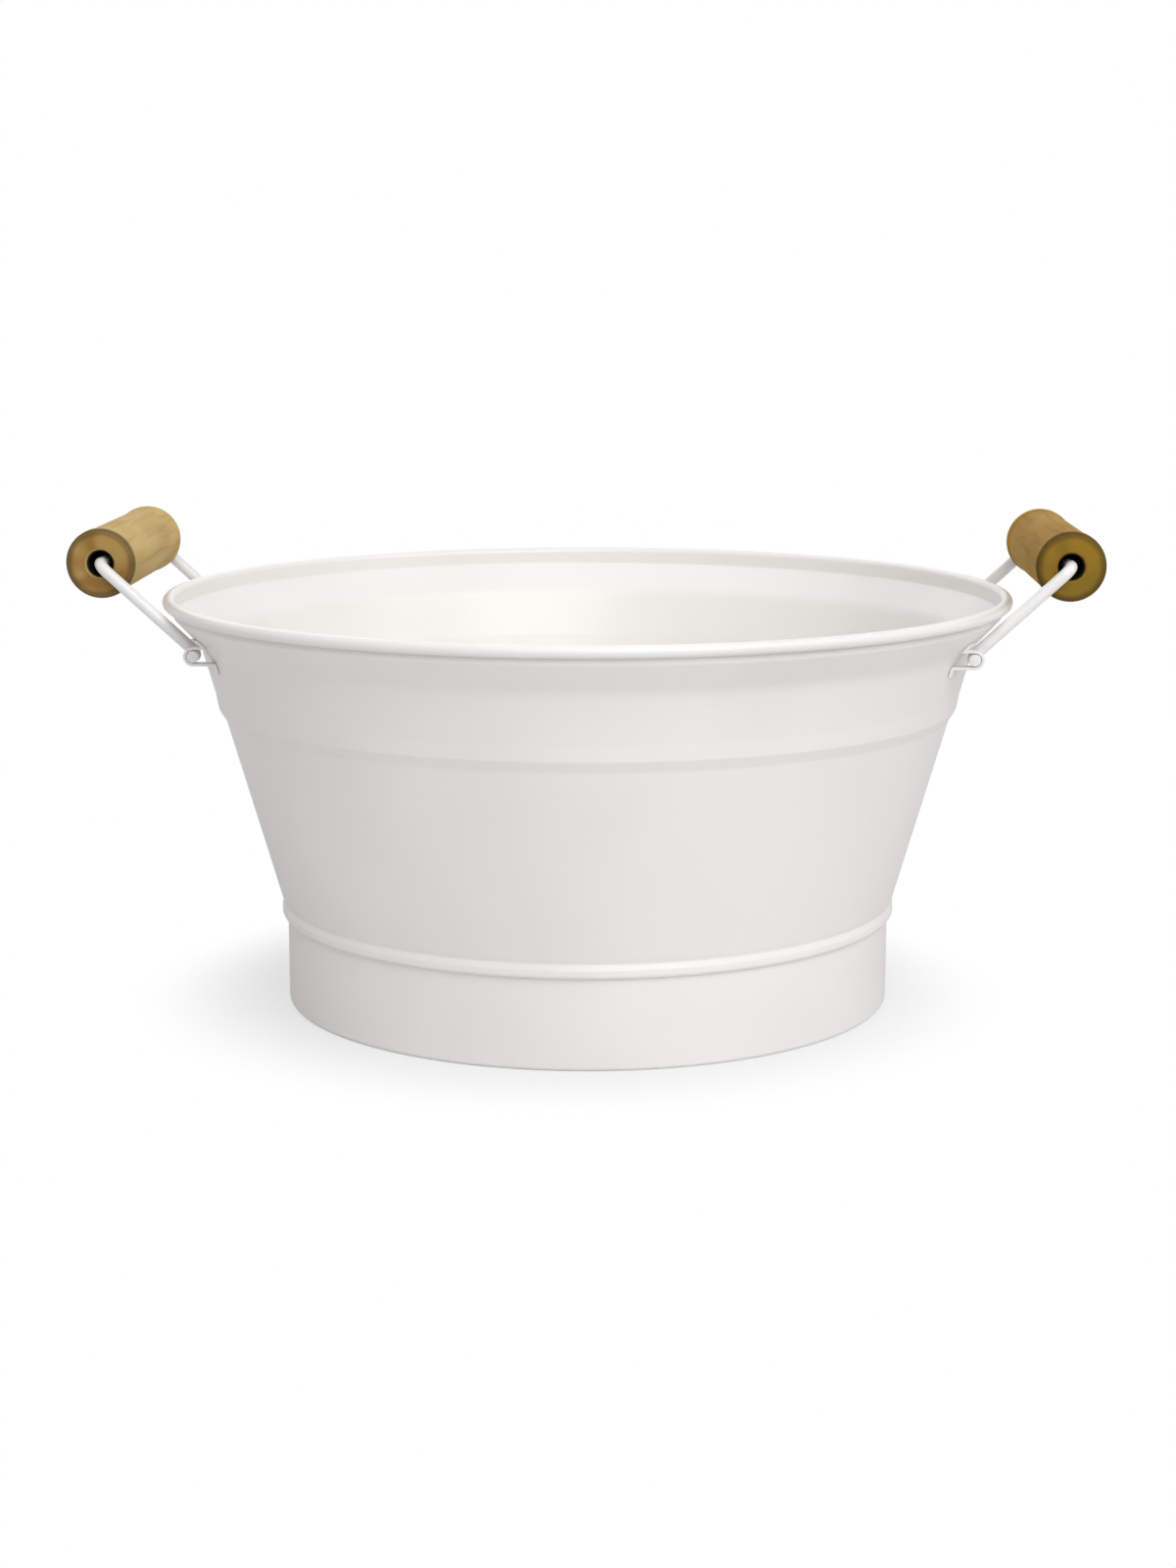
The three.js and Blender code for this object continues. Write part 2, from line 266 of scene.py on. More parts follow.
@dataclass(frozen=True)
class TurnedWood:
    """Turned beech with a thin matt varnish.

    The grain runs along the grip as streaks, drawn wider than beech's own flecks so that they show. The end
    faces have darker end grain with paler patches, and painted shade darkens their rounded rims. The bore
    is painted dark as shade.
    """

    tone: WoodTone
    centre: Vector
    half_length: float
    radius: float
    bore_radius: float
    # Painted shade: the bore's wood is drawn near black, from its wall a little way onto the countersink.
    bore: str = "#120C06"
    bore_full: float = 0.3 * MM
    bore_reach: float = 0.9 * MM
    # Reach and strength of the painted shade on the rims of the end faces.
    edge_full: float = 0.57 * MM
    edge_reach: float = 3.04 * MM
    edge_strength: float = 0.85
    end_full: float = 0.05 * MM
    end_reach: float = 0.25 * MM
    streak_mm: float = 2.2
    streak_length_mm: float = 45.0
    streak_layers: float = 4.0
    streak_depth: float = 0.05 * MM
    figure_mm: float = 11.0
    figure_layers: float = 1.0
    body_noise: float = 0.36
    light_noise: float = 0.66
    roughness: float = 0.7
    sheen: float = 0.2
    varnish: float = 0.04
    varnish_roughness: float = 0.3

    def build(self) -> bpy.types.Material:
        """Build the material.

        Returns:
            The material.
        """
        material = empty_material(self.tone.name)
        tree = material.node_tree
        place = add_node(tree, "ShaderNodeTexCoord").outputs["Object"]
        centred = add_node(
            tree,
            "ShaderNodeMapping",
            inputs={"Vector": place, "Location": tuple(-part for part in self.centre)},
        ).outputs["Vector"]
        streaks = self.grain(tree, centred, self.streak_mm, self.streak_layers)
        figure = self.grain(tree, centred, self.figure_mm, self.figure_layers)
        colour = add_node(tree, "ShaderNodeValToRGB", inputs={"Fac": figure})
        dark, pale = colour.color_ramp.elements
        dark.position, dark.color = self.body_noise, linear(self.tone.body)
        pale.position, pale.color = self.light_noise, linear(self.tone.light)
        streak_part = add_node(
            tree,
            "ShaderNodeMapRange",
            inputs={"Value": streaks, "From Min": 0.5, "From Max": 0.72, "To Min": 0.0, "To Max": 0.55},
        )
        streaked = add_node(
            tree,
            "ShaderNodeMix",
            {"data_type": "RGBA"},
            {0: streak_part.outputs["Result"], 6: colour.outputs["Color"], 7: linear(self.tone.streak)},
        )
        along = self.distance_along(tree, centred)
        end_part = add_node(
            tree,
            "ShaderNodeMapRange",
            inputs={
                "Value": along,
                "From Min": self.half_length - self.end_reach,
                "From Max": self.half_length - self.end_full,
            },
        )
        pale_part = add_node(
            tree,
            "ShaderNodeMapRange",
            inputs={"Value": figure, "From Min": 0.42, "From Max": 0.62, "To Min": 0.0, "To Max": 0.5},
        )
        end_grain = add_node(
            tree,
            "ShaderNodeMix",
            {"data_type": "RGBA"},
            {0: pale_part.outputs["Result"], 6: linear(self.tone.end_face), 7: linear(self.tone.body)},
        )
        with_ends = add_node(
            tree,
            "ShaderNodeMix",
            {"data_type": "RGBA"},
            {0: end_part.outputs["Result"], 6: streaked.outputs[2], 7: end_grain.outputs[2]},
        )
        radius = self.distance_from_axis(tree, centred)
        # Painted shade: the rims of the end faces darken towards the edge colour.
        edge_shaded = add_node(
            tree,
            "ShaderNodeMix",
            {"data_type": "RGBA"},
            {0: self.edge_part(tree, radius, along), 6: with_ends.outputs[2], 7: linear(self.tone.edge)},
        )
        # Painted shade in the bore: full at the bore's wall, fading out a little way onto the countersink.
        bore_shade_part = add_node(
            tree,
            "ShaderNodeMapRange",
            inputs={
                "Value": radius,
                "From Min": self.bore_radius + self.bore_full,
                "From Max": self.bore_radius + self.bore_reach,
                "To Min": 1.0,
                "To Max": 0.0,
            },
        )
        bore_shaded = add_node(
            tree,
            "ShaderNodeMix",
            {"data_type": "RGBA"},
            {0: bore_shade_part.outputs["Result"], 6: edge_shaded.outputs[2], 7: linear(self.bore)},
        )
        bump = add_node(
            tree,
            "ShaderNodeBump",
            inputs={"Height": streaks, "Distance": self.streak_depth, "Strength": 0.5},
        )
        shader = add_node(
            tree,
            "ShaderNodeBsdfPrincipled",
            inputs={
                "Base Color": bore_shaded.outputs[2],
                "Roughness": self.roughness,
                "IOR": CLEAR_COAT_IOR,
                "Specular IOR Level": self.sheen,
                "Normal": bump.outputs["Normal"],
                "Coat Weight": self.varnish,
                "Coat Roughness": self.varnish_roughness,
            },
        )
        add_node(tree, "ShaderNodeOutputMaterial", inputs={"Surface": shader.outputs["BSDF"]})
        return material

    def grain(self, tree: bpy.types.NodeTree, centred: Socket, width_mm: float, layers: float) -> Socket:
        """Add noise that is drawn out along the grip.

        Args:
            tree: Node tree that gets the nodes.
            centred: Place on the grip, from its middle.
            width_mm: Width of a streak.
            layers: Number of finer layers.

        Returns:
            Socket of the noise, from 0 to 1.
        """
        across, along = 1 / (width_mm * MM), 1 / (self.streak_length_mm * MM)
        drawn = add_node(
            tree, "ShaderNodeMapping", inputs={"Vector": centred, "Scale": (across, along, across)}
        )
        noise = add_node(
            tree,
            "ShaderNodeTexNoise",
            inputs={"Vector": drawn.outputs["Vector"], "Scale": 1.0, "Detail": layers, "Distortion": 0.4},
        )
        return noise.outputs["Fac"]

    @staticmethod
    def distance_along(tree: bpy.types.NodeTree, centred: Socket) -> Socket:
        """Add the distance from the grip's middle, along its axis.

        Args:
            tree: Node tree that gets the nodes.
            centred: Place on the grip, from its middle.

        Returns:
            Socket of the distance in metres.
        """
        parts = add_node(tree, "ShaderNodeSeparateXYZ", inputs={"Vector": centred})
        distance = add_node(tree, "ShaderNodeMath", {"operation": "ABSOLUTE"}, {0: parts.outputs["Y"]})
        return distance.outputs["Value"]

    @staticmethod
    def distance_from_axis(tree: bpy.types.NodeTree, centred: Socket) -> Socket:
        """Add the distance from the grip's axis.

        Args:
            tree: Node tree that gets the nodes.
            centred: Place on the grip, from its middle.

        Returns:
            Socket of the distance in metres.
        """
        flat = add_node(
            tree, "ShaderNodeVectorMath", {"operation": "MULTIPLY"}, {0: centred, 1: (1.0, 0.0, 1.0)}
        )
        distance = add_node(
            tree, "ShaderNodeVectorMath", {"operation": "LENGTH"}, {0: flat.outputs["Vector"]}
        )
        return distance.outputs["Value"]

    def edge_part(self, tree: bpy.types.NodeTree, radius: Socket, along: Socket) -> Socket:
        """Add the share of the painted edge shade: full on the rim of each end face, nothing elsewhere.

        Args:
            tree: Node tree that gets the nodes.
            radius: Distance from the axis.
            along: Distance from the middle along the axis.

        Returns:
            Socket of the share, from 0 to 1.
        """
        near_side, near_end = (
            add_node(
                tree,
                "ShaderNodeMapRange",
                inputs={
                    "Value": distance,
                    "From Min": limit - self.edge_reach,
                    "From Max": limit - self.edge_full,
                },
            ).outputs["Result"]
            for distance, limit in ((radius, self.radius), (along, self.half_length))
        )
        both = add_node(tree, "ShaderNodeMath", {"operation": "MULTIPLY"}, {0: near_side, 1: near_end})
        share = add_node(
            tree,
            "ShaderNodeMath",
            {"operation": "MULTIPLY"},
            {0: both.outputs["Value"], 1: self.edge_strength},
        )
        return share.outputs["Value"]


def rounded_line(corners: list[tuple[float, ...]]) -> list[Vector]:
    """Round the corners of a line in the plane of radius and height.

    Args:
        corners: Radius, height and, where the corner is rounded, the radius of its arc, in millimetres.

    Returns:
        Points in metres, as radius, zero and height.
    """
    points: list[Vector] = []
    for index, (x, z, *bend) in enumerate(corners):
        corner = Vector((x, z))
        if not bend:
            points.append(corner)
            continue
        back = (Vector(corners[index - 1][:2]) - corner).normalized()
        ahead = (Vector(corners[index + 1][:2]) - corner).normalized()
        half = back.angle(ahead) / 2
        centre = corner + (back + ahead).normalized() * (bend[0] / math.sin(half))
        arm = corner + back * (bend[0] / math.tan(half)) - centre
        sweep = math.copysign(math.pi - 2 * half, ahead.x * back.y - ahead.y * back.x)
        steps = max(2, math.ceil(abs(sweep) / ARC_STEP))
        for step in range(steps + 1):
            points.append(centre + Matrix.Rotation(sweep * step / steps, 2) @ arm)
    return [Vector((point.x * MM, 0.0, point.y * MM)) for point in points]


def make_object(name: str, mesh: bpy.types.Mesh) -> bpy.types.Object:
    """Put a mesh into the scene as an object at the origin.

    Args:
        name: Name of the object.
        mesh: Its mesh.

    Returns:
        The object.
    """
    piece = bpy.data.objects.new(name, mesh)
    bpy.context.scene.collection.objects.link(piece)
    return piece


def finish_mesh(bm: bmesh.types.BMesh, name: str) -> bpy.types.Object:
    """Turn a bmesh into a smooth-shaded object whose steep edges stay sharp.

    Args:
        bm: The mesh, which is freed.
        name: Name of the object.

    Returns:
        The object.
    """
    for face in bm.faces:
        face.smooth = True
    mesh = bpy.data.meshes.new(name)
    bm.to_mesh(mesh)
    bm.free()
    mesh.set_sharp_from_angle(angle=SHARP_ANGLE)
    return make_object(name, mesh)


def spin_line(line: list[Vector], segments: int, closed: bool = False) -> bmesh.types.BMesh:
    """Spin a line once round the Z axis.

    Args:
        line: Points of the line.
        segments: Facets round the axis.
        closed: Whether the last point joins the first.

    Returns:
        The turned surface, with its faces pointing the same way.
    """
    bm = bmesh.new()
    verts = [bm.verts.new(point) for point in line]
    pairs = list(zip(verts, verts[1:])) + ([(verts[-1], verts[0])] if closed else [])
    for pair in pairs:
        bm.edges.new(pair)
    bmesh.ops.spin(
        bm,
        geom=[*bm.verts, *bm.edges],
        cent=(0.0, 0.0, 0.0),
        axis=(0.0, 0.0, 1.0),
        angle=TURN,
        steps=segments,
        use_merge=True,
    )
    bmesh.ops.remove_doubles(bm, verts=bm.verts, dist=WELD_DISTANCE)
    bmesh.ops.recalc_face_normals(bm, faces=bm.faces)
    return bm


def sheet_piece(name: str, line: list[Vector], segments: int) -> bpy.types.Object:
    """Spin the middle line of a sheet and give it the sheet's thickness.

    Args:
        name: Name of the piece.
        line: Middle line of the sheet.
        segments: Facets round the axis.

    Returns:
        The piece.
    """
    shell = finish_mesh(spin_line(line, segments), name + "_shell")
    thicken = shell.modifiers.new("thickness", "SOLIDIFY")
    thicken.thickness = SHEET
    thicken.offset = 0.0
    thicken.use_even_offset = True
    graph = bpy.context.evaluated_depsgraph_get()
    mesh = bpy.data.meshes.new_from_object(shell.evaluated_get(graph))
    mesh.name = name
    mesh.set_sharp_from_angle(angle=SHARP_ANGLE)
    bpy.data.objects.remove(shell)
    return make_object(name, mesh)


@dataclass
class Tub:
    """The wall, the floor and the foot ring: three pressed sheets locked in one rolled seam.

    Lengths are in millimetres and angles in degrees. The swage is a crease with a flat shoulder above it,
    sharper than the soft bulge of the solid.
    """

    enamel: bpy.types.Material
    roll_radius: float = 2.2
    roll_turn: float = 275.0
    roll_steps: int = 30
    stem_height: float = 4.6
    stem_bend: float = 1.5
    flare_angle: float = 43.0
    flare_bend: float = 12.0
    flare_width: float = 9.3
    cone_setback: float = 0.1
    cone_rise: float = 6.9
    cone_bend: float = 6.0
    swage_drop: float = 45.9
    swage_slope_height: float = 4.0
    swage_depth: float = 1.4
    swage_edge: float = 2.0
    swage_blend: float = 4.0
    shoulder_drop: float = 36.0
    shoulder_step: float = 0.8
    seam_overhang: float = 2.1
    seam_neck: float = 0.8
    seam_bend: float = 1.6
    foot_lip: float = 4.0
    floor_margin: float = 16.5
    panel_rise: float = 1.6
    press_bend: float = 1.2
    segments: int = 256

    def __post_init__(self) -> None:
        """Read the rim, the seam and the foot from the frame, in millimetres."""
        low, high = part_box("tub_wall")
        self.rim_radius = high[0] / MM
        self.rim_height = high[2] / MM
        self.seam_height = low[2] / MM
        self.sheet = SHEET / MM
        self.gap = SEAM_GAP / MM
        flange_edge, _, foot_top = (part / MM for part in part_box("foot_ring")[1])
        self.flange_height = foot_top - self.sheet / 2
        self.floor_height = foot_top + self.gap + self.sheet / 2
        self.seamed_edge = flange_edge
        self.seam_radius = flange_edge + self.sheet + self.gap
        self.foot_radius = self.seam_radius - self.seam_overhang
        self.cone_radius = self.seam_radius - self.cone_setback
        self.cone_height = self.seam_height + self.cone_rise
        widening = self.rim_radius - self.flare_width - self.cone_radius
        self.cone_slope = widening / (self.rim_height - self.cone_height)

    def cone(self, height: float) -> float:
        """Outside radius of the wall's plain cone at a height, both in millimetres."""
        return self.cone_radius + (height - self.cone_height) * self.cone_slope

    def wall_line(self) -> list[Vector]:
        """Draw the wall's middle line, from the folded edge in the seam to the end of the roll.

        Returns:
            Points in metres.
        """
        inset = self.sheet / 2
        roll_line = self.roll_radius - inset
        roll_x = self.rim_radius - self.roll_radius
        roll_z = self.rim_height - self.roll_radius
        stem_x, stem_z = roll_x - roll_line, roll_z - self.stem_height
        flare_slope = math.tan(math.radians(self.flare_angle))
        upper = self.cone(stem_z) + self.shoulder_step - inset
        drop = (stem_x - upper) / (flare_slope - self.cone_slope)
        hem = self.seam_height + inset
        seam = self.seam_radius - inset
        neck = self.floor_height + self.sheet + self.gap + self.press_bend / 2
        swage_foot = self.rim_height - self.swage_drop
        swage_edge = swage_foot + self.swage_slope_height
        shoulder = self.rim_height - self.shoulder_drop
        roll = []
        for step in range(self.roll_steps + 1):
            angle = math.pi - math.radians(self.roll_turn) * step / self.roll_steps
            roll.append((roll_x + roll_line * math.cos(angle), roll_z + roll_line * math.sin(angle)))
        return rounded_line(
            [
                (self.foot_radius + self.gap, hem),
                (seam, hem, self.press_bend),
                (seam, neck - self.press_bend, self.seam_bend),
                (seam - self.seam_neck, neck + self.press_bend, self.seam_bend),
                (self.cone_radius - inset, self.cone_height, self.cone_bend),
                (self.cone(swage_foot) - inset, swage_foot, self.swage_blend),
                (self.cone(swage_edge) + self.swage_depth - inset, swage_edge, self.swage_edge),
                (self.cone(shoulder) + self.shoulder_step - inset, shoulder, self.swage_blend / 2),
                (stem_x - drop * flare_slope, stem_z - drop, self.flare_bend),
                (stem_x, stem_z, self.stem_bend),
                *roll,
            ]
        )

    def foot_line(self) -> list[Vector]:
        """Draw the foot ring's middle line, from the lip on the table to the flange in the seam."""
        inset = self.sheet / 2
        skirt = self.foot_radius - inset
        return rounded_line(
            [
                (self.foot_radius - self.foot_lip, inset),
                (skirt, inset, self.press_bend),
                (skirt, self.flange_height, self.press_bend),
                (self.seamed_edge, self.flange_height),
            ]
        )

    def floor_line(self) -> list[Vector]:
        """Draw the floor's middle line, from its edge in the seam to the axis."""
        raised = self.floor_height + self.panel_rise
        panel = self.seamed_edge - self.floor_margin
        return rounded_line(
            [
                (self.seamed_edge, self.floor_height),
                (panel + self.panel_rise, self.floor_height, self.press_bend),
                (panel, raised, self.press_bend),
                (0.0, raised),
            ]
        )

    def build(self) -> None:
        """Build the three sheets and dress them."""
        lines = {"tub_wall": self.wall_line(), "foot_ring": self.foot_line(), "tub_floor": self.floor_line()}
        for node, line in lines.items():
            dress(sheet_piece(node + "_sheet", line, self.segments), self.enamel, "tub", node)


@dataclass
class Ear:
    """One pressed strap that holds a pin of a bail: the solid's own form with its sharp edges softened."""

    node: str
    enamel: bpy.types.Material
    edge_radius: float = 0.25 * MM
    steep_angle: float = math.radians(35)
    flat_angle: float = math.radians(1)

    def build(self) -> None:
        """Build the strap and dress it."""
        bm = bmesh.new()
        bm.from_mesh(bpy.data.objects[self.node].data)
        bmesh.ops.remove_doubles(bm, verts=bm.verts, dist=WELD_DISTANCE)
        bmesh.ops.dissolve_limit(bm, angle_limit=self.flat_angle, verts=bm.verts, edges=bm.edges)
        steep = [edge for edge in bm.edges if edge.is_manifold and edge.calc_face_angle() > self.steep_angle]
        bmesh.ops.bevel(
            bm,
            geom=steep,
            offset=self.edge_radius,
            offset_type="OFFSET",
            affect="EDGES",
            segments=2,
            profile=0.5,
            material=-1,
            clamp_overlap=True,
        )
        dress(finish_mesh(bm, self.node + "_strap"), self.enamel, "tub", self.node)


@dataclass
class Handle:
    """One bail with its grip: a bent wire whose pins turn outward, and a turned grip on its middle.

    The wire's sizes are in metres and the grip's profile is in millimetres.
    """

    side: Side
    wire_coat: bpy.types.Material
    joints: dict[str, Vector]
    wire_radius: float = 2.2 * MM
    wire_bend: float = 4.5 * MM
    wire_end_radius: float = 0.4 * MM
    wire_end_angle: float = math.radians(60)
    end_play: float = 0.6 * MM
    wire_sides: int = 28
    bend_steps: int = 14
    bore_radius: float = 4.5
    countersink: float = 1.2
    countersink_bend: float = 0.6
    edge_radius: float = 2.0
    collar_width: float = 6.0
    groove_width: float = 2.4
    groove_depth: float = 1.0
    groove_bend: float = 0.8
    body_radius: float = 12.4
    body_bend: float = 1.2
    grip_segments: int = 128

    def __post_init__(self) -> None:
        """Read the pivot, the grip's axis and the grip's size from the frame."""
        self.pivot = self.joints[f"bail_{self.side.word}_swing"]
        self.grip_centre = self.joints[f"grip_{self.side.word}_spin"]
        low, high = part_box(f"grip_{self.side.word}")
        self.half_length = (high[1] - low[1]) / 2
        self.grip_radius = (high[2] - low[2]) / 2
        self.leg_y = self.half_length + self.end_play + self.wire_radius
        self.pin_end_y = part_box(f"bail_{self.side.word}")[1][1]
        arm = self.grip_centre - self.pivot
        self.reach = arm.length
        self.rise = math.atan2(arm.z, abs(arm.x))

    def place(self) -> Matrix:
        """Place of the bail's own frame, whose origin is the pivot and whose +X runs along the legs.

        Returns:
            Transform from that frame to the tub's.
        """
        turn = Matrix.Rotation(0.0 if self.side is Side.RIGHT else math.pi, 4, "Z")
        return Matrix.Translation(self.pivot) @ turn @ Matrix.Rotation(-self.rise, 4, "Y")

    @staticmethod
    def run(bm: bmesh.types.BMesh, ring: Ring, step: Vector) -> Ring:
        """Draw the wire on in a straight line.

        Args:
            bm: Mesh of the wire.
            ring: Edges round the wire's open end.
            step: How far the wire runs.

        Returns:
            Edges round the new open end.
        """
        drawn = bmesh.ops.extrude_edge_only(bm, edges=ring)["geom"]
        verts = [item for item in drawn if isinstance(item, bmesh.types.BMVert)]
        bmesh.ops.translate(bm, vec=step, verts=verts)
        return [item for item in drawn if isinstance(item, bmesh.types.BMEdge)]

    def bend(self, bm: bmesh.types.BMesh, ring: Ring, centre: Vector, angle: float) -> Ring:
        """Bend the wire on about a centre, in the plane of the bail.

        Args:
            bm: Mesh of the wire.
            ring: Edges round the wire's open end.
            centre: Middle of the bend.
            angle: How far the wire turns to the left.

        Returns:
            Edges round the new open end.
        """
        bent = bmesh.ops.spin(
            bm, geom=ring, cent=centre, axis=(0.0, 0.0, 1.0), angle=angle, steps=self.bend_steps
        )["geom_last"]
        return [item for item in bent if isinstance(item, bmesh.types.BMEdge)]

    def build_wire(self) -> bpy.types.Object:
        """Bend the wire from one pin's end to the other's.

        Returns:
            The wire.
        """
        radius, quarter = self.wire_bend, math.pi / 2
        near_x, far_x = radius, self.reach - radius
        pin_y, mid_y = self.leg_y + radius, self.leg_y - radius
        bm = bmesh.new()
        start = Matrix.Translation((0.0, -self.pin_end_y, 0.0)) @ Matrix.Rotation(quarter, 4, "X")
        bmesh.ops.create_circle(bm, segments=self.wire_sides, radius=self.wire_radius, matrix=start)
        first = list(bm.edges)
        ring = self.run(bm, first, Vector((0.0, self.pin_end_y - pin_y, 0.0)))
        ring = self.bend(bm, ring, Vector((near_x, -pin_y, 0.0)), -quarter)
        ring = self.run(bm, ring, Vector((far_x - near_x, 0.0, 0.0)))
        ring = self.bend(bm, ring, Vector((far_x, -mid_y, 0.0)), quarter)
        ring = self.run(bm, ring, Vector((0.0, 2 * mid_y, 0.0)))
        ring = self.bend(bm, ring, Vector((far_x, mid_y, 0.0)), quarter)
        ring = self.run(bm, ring, Vector((near_x - far_x, 0.0, 0.0)))
        ring = self.bend(bm, ring, Vector((near_x, pin_y, 0.0)), -quarter)
        ring = self.run(bm, ring, Vector((0.0, self.pin_end_y - pin_y, 0.0)))
        bmesh.ops.holes_fill(bm, edges=[*first, *ring], sides=0)
        bmesh.ops.remove_doubles(bm, verts=bm.verts, dist=WELD_DISTANCE)
        bmesh.ops.recalc_face_normals(bm, faces=bm.faces)
        limit = self.wire_end_angle
        sharp = [edge for edge in bm.edges if edge.is_manifold and edge.calc_face_angle() > limit]
        bmesh.ops.bevel(
            bm,
            geom=sharp,
            offset=self.wire_end_radius,
            offset_type="OFFSET",
            affect="EDGES",
            segments=3,
            profile=0.5,
            material=-1,
        )
        bmesh.ops.transform(bm, matrix=self.place(), verts=bm.verts)
        return finish_mesh(bm, f"bail_{self.side.word}_wire")

    def build_grip(self) -> bpy.types.Object:
        """Turn the grip: bore, countersinks, rounded ends and a groove that sets off each collar.

        Returns:
            The grip.
        """
        end, radius = self.half_length / MM, self.grip_radius / MM
        collar = end - self.collar_width
        upper = [
            (self.bore_radius, end - self.countersink, self.countersink_bend),
            (self.bore_radius + self.countersink, end, self.countersink_bend),
            (radius, end, self.edge_radius),
            (radius, collar, self.groove_bend),
            (radius - self.groove_depth, collar - self.groove_width / 2, self.groove_bend),
            (self.body_radius, collar - self.groove_width, self.body_bend),
        ]
        lower = [(x, -z, bend) for x, z, bend in reversed(upper)]
        start = (self.bore_radius, 0.0)
        line = rounded_line([start, *upper, (self.body_radius, 0.0), *lower, start])[:-1]
        bm = spin_line(line, self.grip_segments, closed=True)
        place = Matrix.Translation(self.grip_centre) @ Matrix.Rotation(-math.pi / 2, 4, "X")
        bmesh.ops.transform(bm, matrix=place, verts=bm.verts)
        return finish_mesh(bm, f"grip_{self.side.word}_turned")

    def build(self) -> None:
        """Build the wire and the grip and dress them."""
        bail, grip = f"bail_{self.side.word}", f"grip_{self.side.word}"
        wood = TurnedWood(
            tone=WOOD_TONES[self.side],
            centre=self.grip_centre,
            half_length=self.half_length,
            radius=self.grip_radius,
            bore_radius=self.bore_radius * MM,
        )
        dress(self.build_wire(), self.wire_coat, bail, bail)
        dress(self.build_grip(), wood.build(), grip, grip)


def dress(piece: bpy.types.Object, material: bpy.types.Material, body: str, node: str) -> None:
    """Give a piece its finish, hang it on the body it rides on, log it and hide the solid it stands for.

    Args:
        piece: The piece.
        material: Its material.
        body: Body that carries the piece.
        node: Node that the piece stands for.
    """
    piece.data.materials.clear()
    piece.data.materials.append(material)
    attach(piece, body)
    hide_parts(node)
    log.info("%s: %d faces, rides on %s", piece.name, len(piece.data.polygons), body)


@dataclass(frozen=True)
class Viewpoint:
    """Camera at the photograph's place."""

    distance: float = 1.080
    pitch: float = math.radians(10.62)
    yaw: float = math.radians(1.9)
    focal_px: float = 2861.0
    target: tuple[float, float, float] = (0.00015, 0.0, 0.08095)
    sensor_mm: float = 36.0

    def build(self) -> None:
        """Make the camera and set it as the scene's."""
        back = Vector(
            (
                math.sin(self.yaw) * math.cos(self.pitch),
                -math.cos(self.yaw) * math.cos(self.pitch),
                math.sin(self.pitch),
            )
        )
        right = Vector((math.cos(self.yaw), math.sin(self.yaw), 0.0))
        turn = Matrix((right, back.cross(right), back)).transposed().to_4x4()
        data = bpy.data.cameras.new("camera")
        data.sensor_fit = "VERTICAL"
        data.sensor_height = self.sensor_mm
        data.lens = self.focal_px * self.sensor_mm / PHOTO_HEIGHT_PX
        camera = bpy.data.objects.new("camera", data)
        camera.matrix_world = Matrix.Translation(Vector(self.target) + back * self.distance) @ turn
        bpy.context.scene.collection.objects.link(camera)
        bpy.context.scene.camera = camera


@dataclass(frozen=True)
class Lamp:
    """A square soft lamp that faces the tub."""

    name: str
    place: tuple[float, float, float]
    size: float
    watts: float
    aim: tuple[float, float, float] = (0.0, 0.0, 0.08)

    def build(self) -> None:
        """Hang the lamp."""
        data = bpy.data.lights.new(self.name, "AREA")
        data.size = self.size
        data.energy = self.watts
        lamp = bpy.data.objects.new(self.name, data)
        turn = (Vector(self.aim) - Vector(self.place)).to_track_quat("-Z", "Y").to_matrix().to_4x4()
        lamp.matrix_world = Matrix.Translation(self.place) @ turn
        bpy.context.scene.collection.objects.link(lamp)


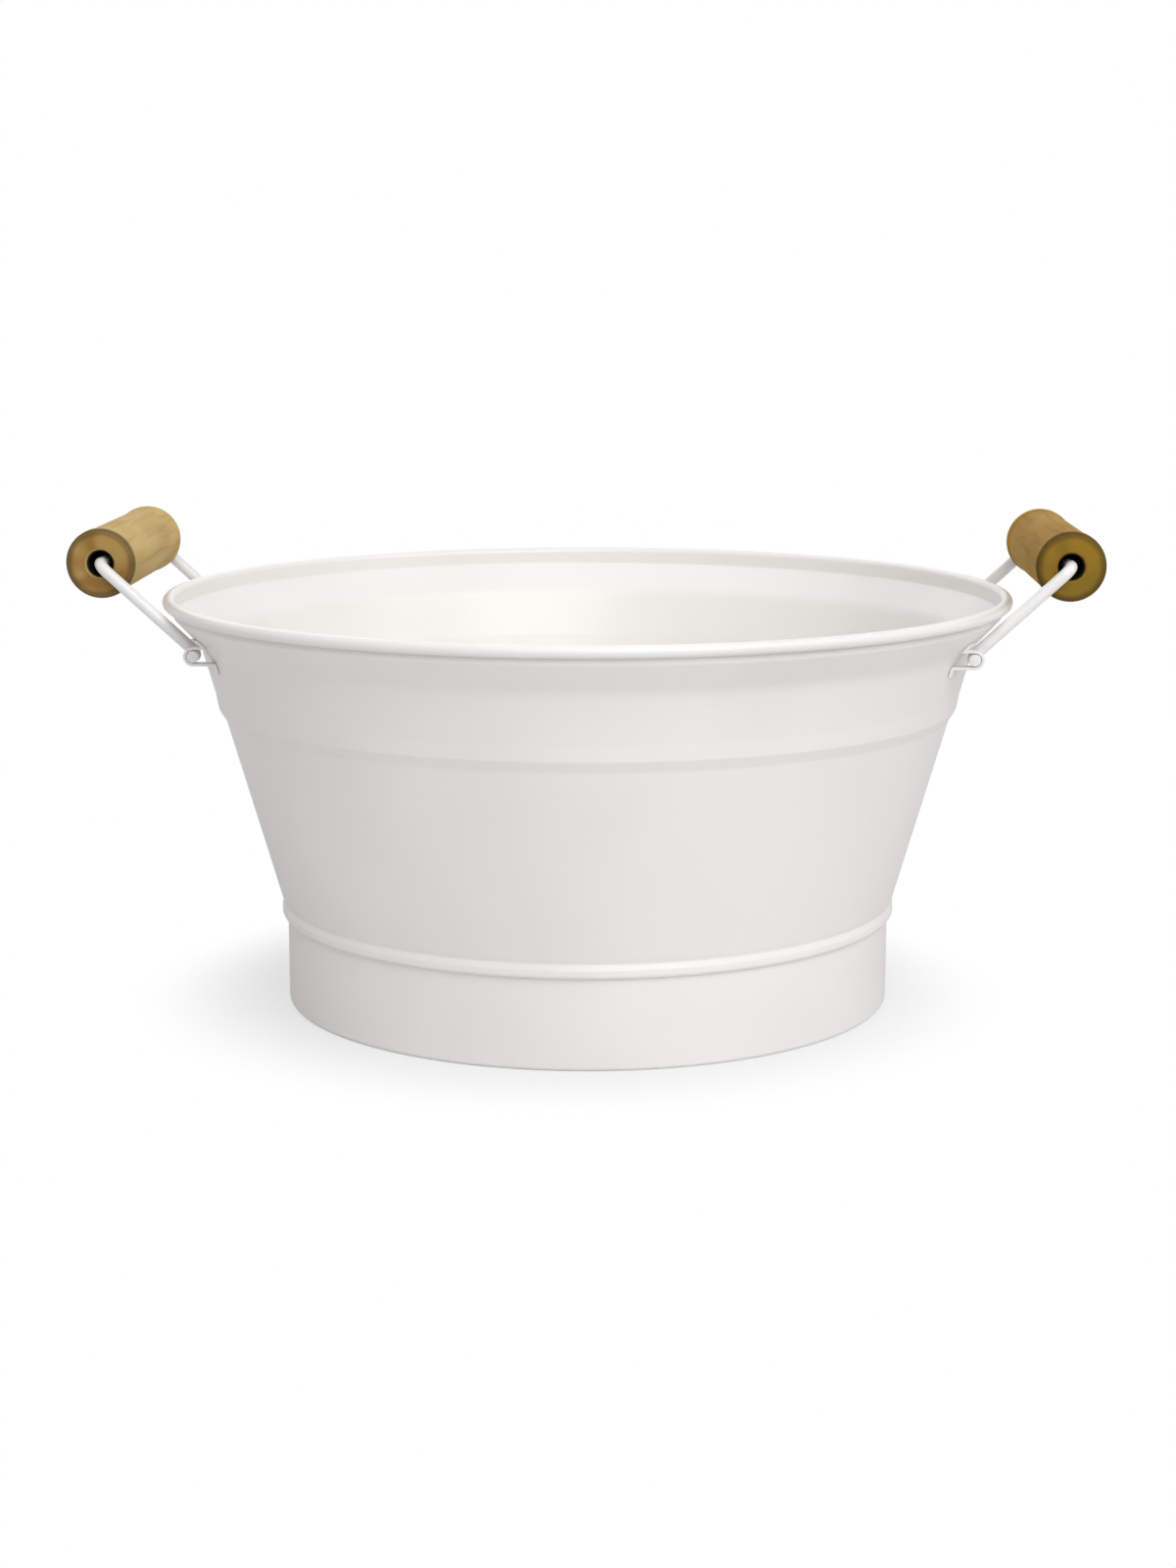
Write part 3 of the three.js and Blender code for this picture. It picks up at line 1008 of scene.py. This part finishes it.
@dataclass(frozen=True)
class Studio:
    """White floor and surroundings with soft light, most of it from the front and the right."""

    ambient: float = 0.48
    floor_size: float = 30.0
    near_glow: float = 0.55
    shadow_reach: float = 0.11
    white_reach: float = 0.17
    shadow_shift: float = 0.008
    lamps: tuple[Lamp, ...] = (
        Lamp("key", (1.9, -1.0, 1.5), size=1.4, watts=8.5),
        Lamp("front", (0.7, -1.85, 1.5), size=1.8, watts=25.5),
        Lamp("top", (-0.4, -0.3, 2.2), size=2.0, watts=8.0),
        Lamp("back", (-0.6, 1.9, 1.6), size=1.6, watts=5.0),
    )

    def build(self) -> None:
        """Build the floor, the world and the lamps."""
        self.build_world()
        self.build_floor()
        for lamp in self.lamps:
            lamp.build()
        bpy.context.scene.view_settings.view_transform = "Standard"

    def build_world(self) -> None:
        """Surround the scene with white that lights the object only at the ambient level."""
        world = bpy.data.worlds.new("surroundings")
        world.use_nodes = True
        tree = world.node_tree
        tree.nodes.clear()
        rays = add_node(tree, "ShaderNodeLightPath")
        seen = rays.outputs["Is Camera Ray"]
        for ray in ("Is Glossy Ray", "Is Transmission Ray"):
            seen = add_node(
                tree, "ShaderNodeMath", {"operation": "MAXIMUM"}, {0: seen, 1: rays.outputs[ray]}
            ).outputs["Value"]
        strength = add_node(
            tree,
            "ShaderNodeMapRange",
            inputs={"Value": seen, "To Min": self.ambient, "To Max": 1.0},
        )
        background = add_node(
            tree,
            "ShaderNodeBackground",
            inputs={"Color": linear("#FFFFFF"), "Strength": strength.outputs["Result"]},
        )
        add_node(tree, "ShaderNodeOutputWorld", inputs={"Surface": background.outputs["Background"]})
        bpy.context.scene.world = world

    def build_floor(self) -> None:
        """Lay a white floor that keeps the object's shadow, with painted light: for the camera it glows, less
        near the tub, and the weak part is centred a little to the tub's left.
        """
        bm = bmesh.new()
        bmesh.ops.create_grid(bm, x_segments=1, y_segments=1, size=self.floor_size / 2)
        floor = finish_mesh(bm, "studio_floor")
        material = empty_material("studio_white")
        tree = material.node_tree
        matt = add_node(tree, "ShaderNodeBsdfDiffuse", inputs={"Color": linear("#E2E2E2")})
        glow = add_node(tree, "ShaderNodeEmission", inputs={"Color": linear("#FFFFFF"), "Strength": 1.0})
        rays = add_node(tree, "ShaderNodeLightPath")
        place = add_node(tree, "ShaderNodeTexCoord").outputs["Object"]
        shifted = add_node(
            tree, "ShaderNodeMapping", inputs={"Vector": place, "Location": (self.shadow_shift, 0.0, 0.0)}
        )
        distance = add_node(
            tree, "ShaderNodeVectorMath", {"operation": "LENGTH"}, {0: shifted.outputs["Vector"]}
        )
        # Painted light: the camera sees a glow that is weaker near the tub, so its shadow shows there, and
        # full white further out.
        glow_share = add_node(
            tree,
            "ShaderNodeMapRange",
            {"interpolation_type": "SMOOTHSTEP"},
            {
                "Value": distance.outputs["Value"],
                "From Min": self.shadow_reach,
                "From Max": self.white_reach,
                "To Min": self.near_glow,
            },
        )
        share = add_node(
            tree,
            "ShaderNodeMath",
            {"operation": "MULTIPLY"},
            {0: rays.outputs["Is Camera Ray"], 1: glow_share.outputs["Result"]},
        )
        mixed = add_node(
            tree,
            "ShaderNodeMixShader",
            inputs={0: share.outputs["Value"], 1: matt.outputs["BSDF"], 2: glow.outputs["Emission"]},
        )
        add_node(tree, "ShaderNodeOutputMaterial", inputs={"Surface": mixed.outputs["Shader"]})
        floor.data.materials.append(material)


def main() -> None:
    """Load the frame and build the scene."""
    logging.basicConfig(level=logging.INFO, format="%(name)s: %(message)s")
    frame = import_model()
    Viewpoint().build()
    joints = {joint["name"]: Vector(joint["pos_m"]) for joint in frame["record"]["behaviour"]["joints"]}
    enamel = CoatedSteel("white_enamel_on_steel", "#F0EEEB", "#EBE9E6", roughness=0.38, gloss=0.3).build()
    wire_coat = CoatedSteel(
        "white_coated_wire", "#ECEBE9", "#E5E4E2", roughness=0.38, gloss=0.25, ripple_mm=2.5
    ).build()
    Tub(enamel).build()
    for side in Side:
        for end in ("front", "rear"):
            Ear(f"ear_{side.word}_{end}", enamel).build()
        Handle(side, wire_coat, joints).build()
    Studio().build()


if __name__ == "__main__":
    main()
